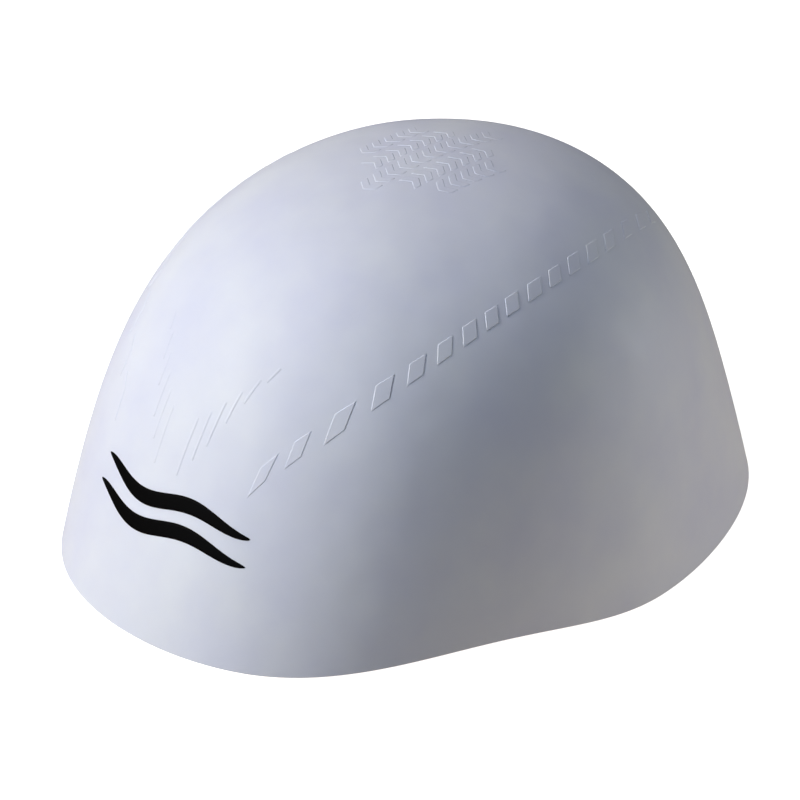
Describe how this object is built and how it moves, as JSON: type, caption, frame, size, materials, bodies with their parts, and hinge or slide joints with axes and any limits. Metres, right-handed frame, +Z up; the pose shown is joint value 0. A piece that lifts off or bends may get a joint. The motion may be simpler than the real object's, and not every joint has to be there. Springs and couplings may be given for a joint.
{
  "type": "racing swim cap",
  "caption": "Dome-shaped racing swim cap moulded in one piece of white silicone, open below, with low raised tiles, ridges and chevrons on the outside.",
  "frame": {"origin": "middle of the footprint, on the surface that the rim rests on", "axes": "+Z up through the crown, -Y towards the forehead, +Y towards the nape, +X to the wearer's left"},
  "size_m": [0.1584, 0.2, 0.1029],
  "materials": {
    "silicone": "satin white silicone",
    "print_ink": "matte black print on the silicone"
  },
  "bodies": {
    "root": {"cap_shell": "silicone"}
  },
  "joints": []
}
